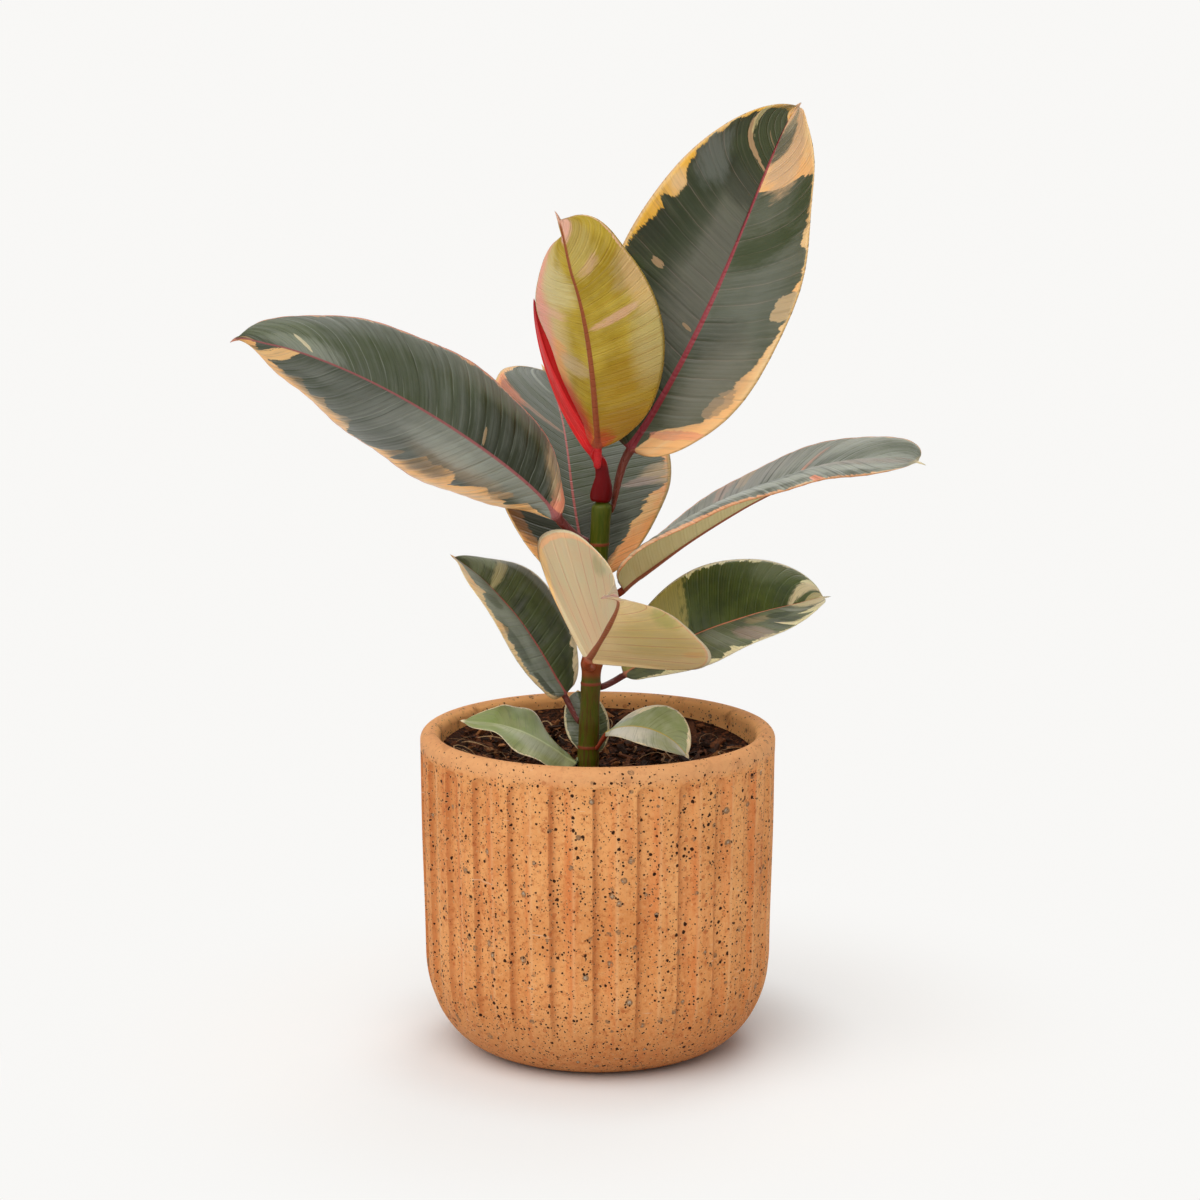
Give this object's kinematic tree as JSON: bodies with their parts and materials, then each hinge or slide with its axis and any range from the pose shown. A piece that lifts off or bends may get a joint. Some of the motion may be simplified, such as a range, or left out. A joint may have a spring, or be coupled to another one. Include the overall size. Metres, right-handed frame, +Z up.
{
  "type": "potted rubber plant",
  "caption": "Young variegated rubber plant with broad folded leaves on one upright stem, growing from bark potting mix in a fluted, speckled clay pot with a rounded foot.",
  "frame": {"origin": "centre of the pot's flat underside", "axes": "+Z up along the pot's axis, the plant's front towards -Y, +X to the right as seen from the front"},
  "size_m": [0.3035, 0.2405, 0.4212],
  "materials": {
    "clay": "unglazed fired clay, orange-tan, matt, with fine pits and small dark and grey grains",
    "potting_mix": "loose dark bark chips and fibres, matt",
    "green_stem": "smooth olive-green young bark with brown flecks and leaf rings",
    "red_sheath": "thin crimson bud sheath, satin",
    "young_leaf": "young leaf, lime to cream with a pink edge, satin",
    "old_leaf": "leathery waxed leaf, dark and grey-green patches with cream and pink margins"
  },
  "bodies": {
    "root": {"pot": "clay", "potting_mix": "potting_mix", "stem": "green_stem", "bud_sheath": "red_sheath", "leaf_young_top": "young_leaf", "leaf_upper_right": "old_leaf", "leaf_upper_left": "old_leaf", "leaf_back": "old_leaf", "leaf_right_long": "old_leaf", "leaf_right_lower": "old_leaf", "leaf_left_lower": "old_leaf", "leaf_front": "old_leaf", "leaf_small_left": "old_leaf", "leaf_small_right": "old_leaf", "leaf_small_back": "old_leaf"}
  },
  "joints": []
}
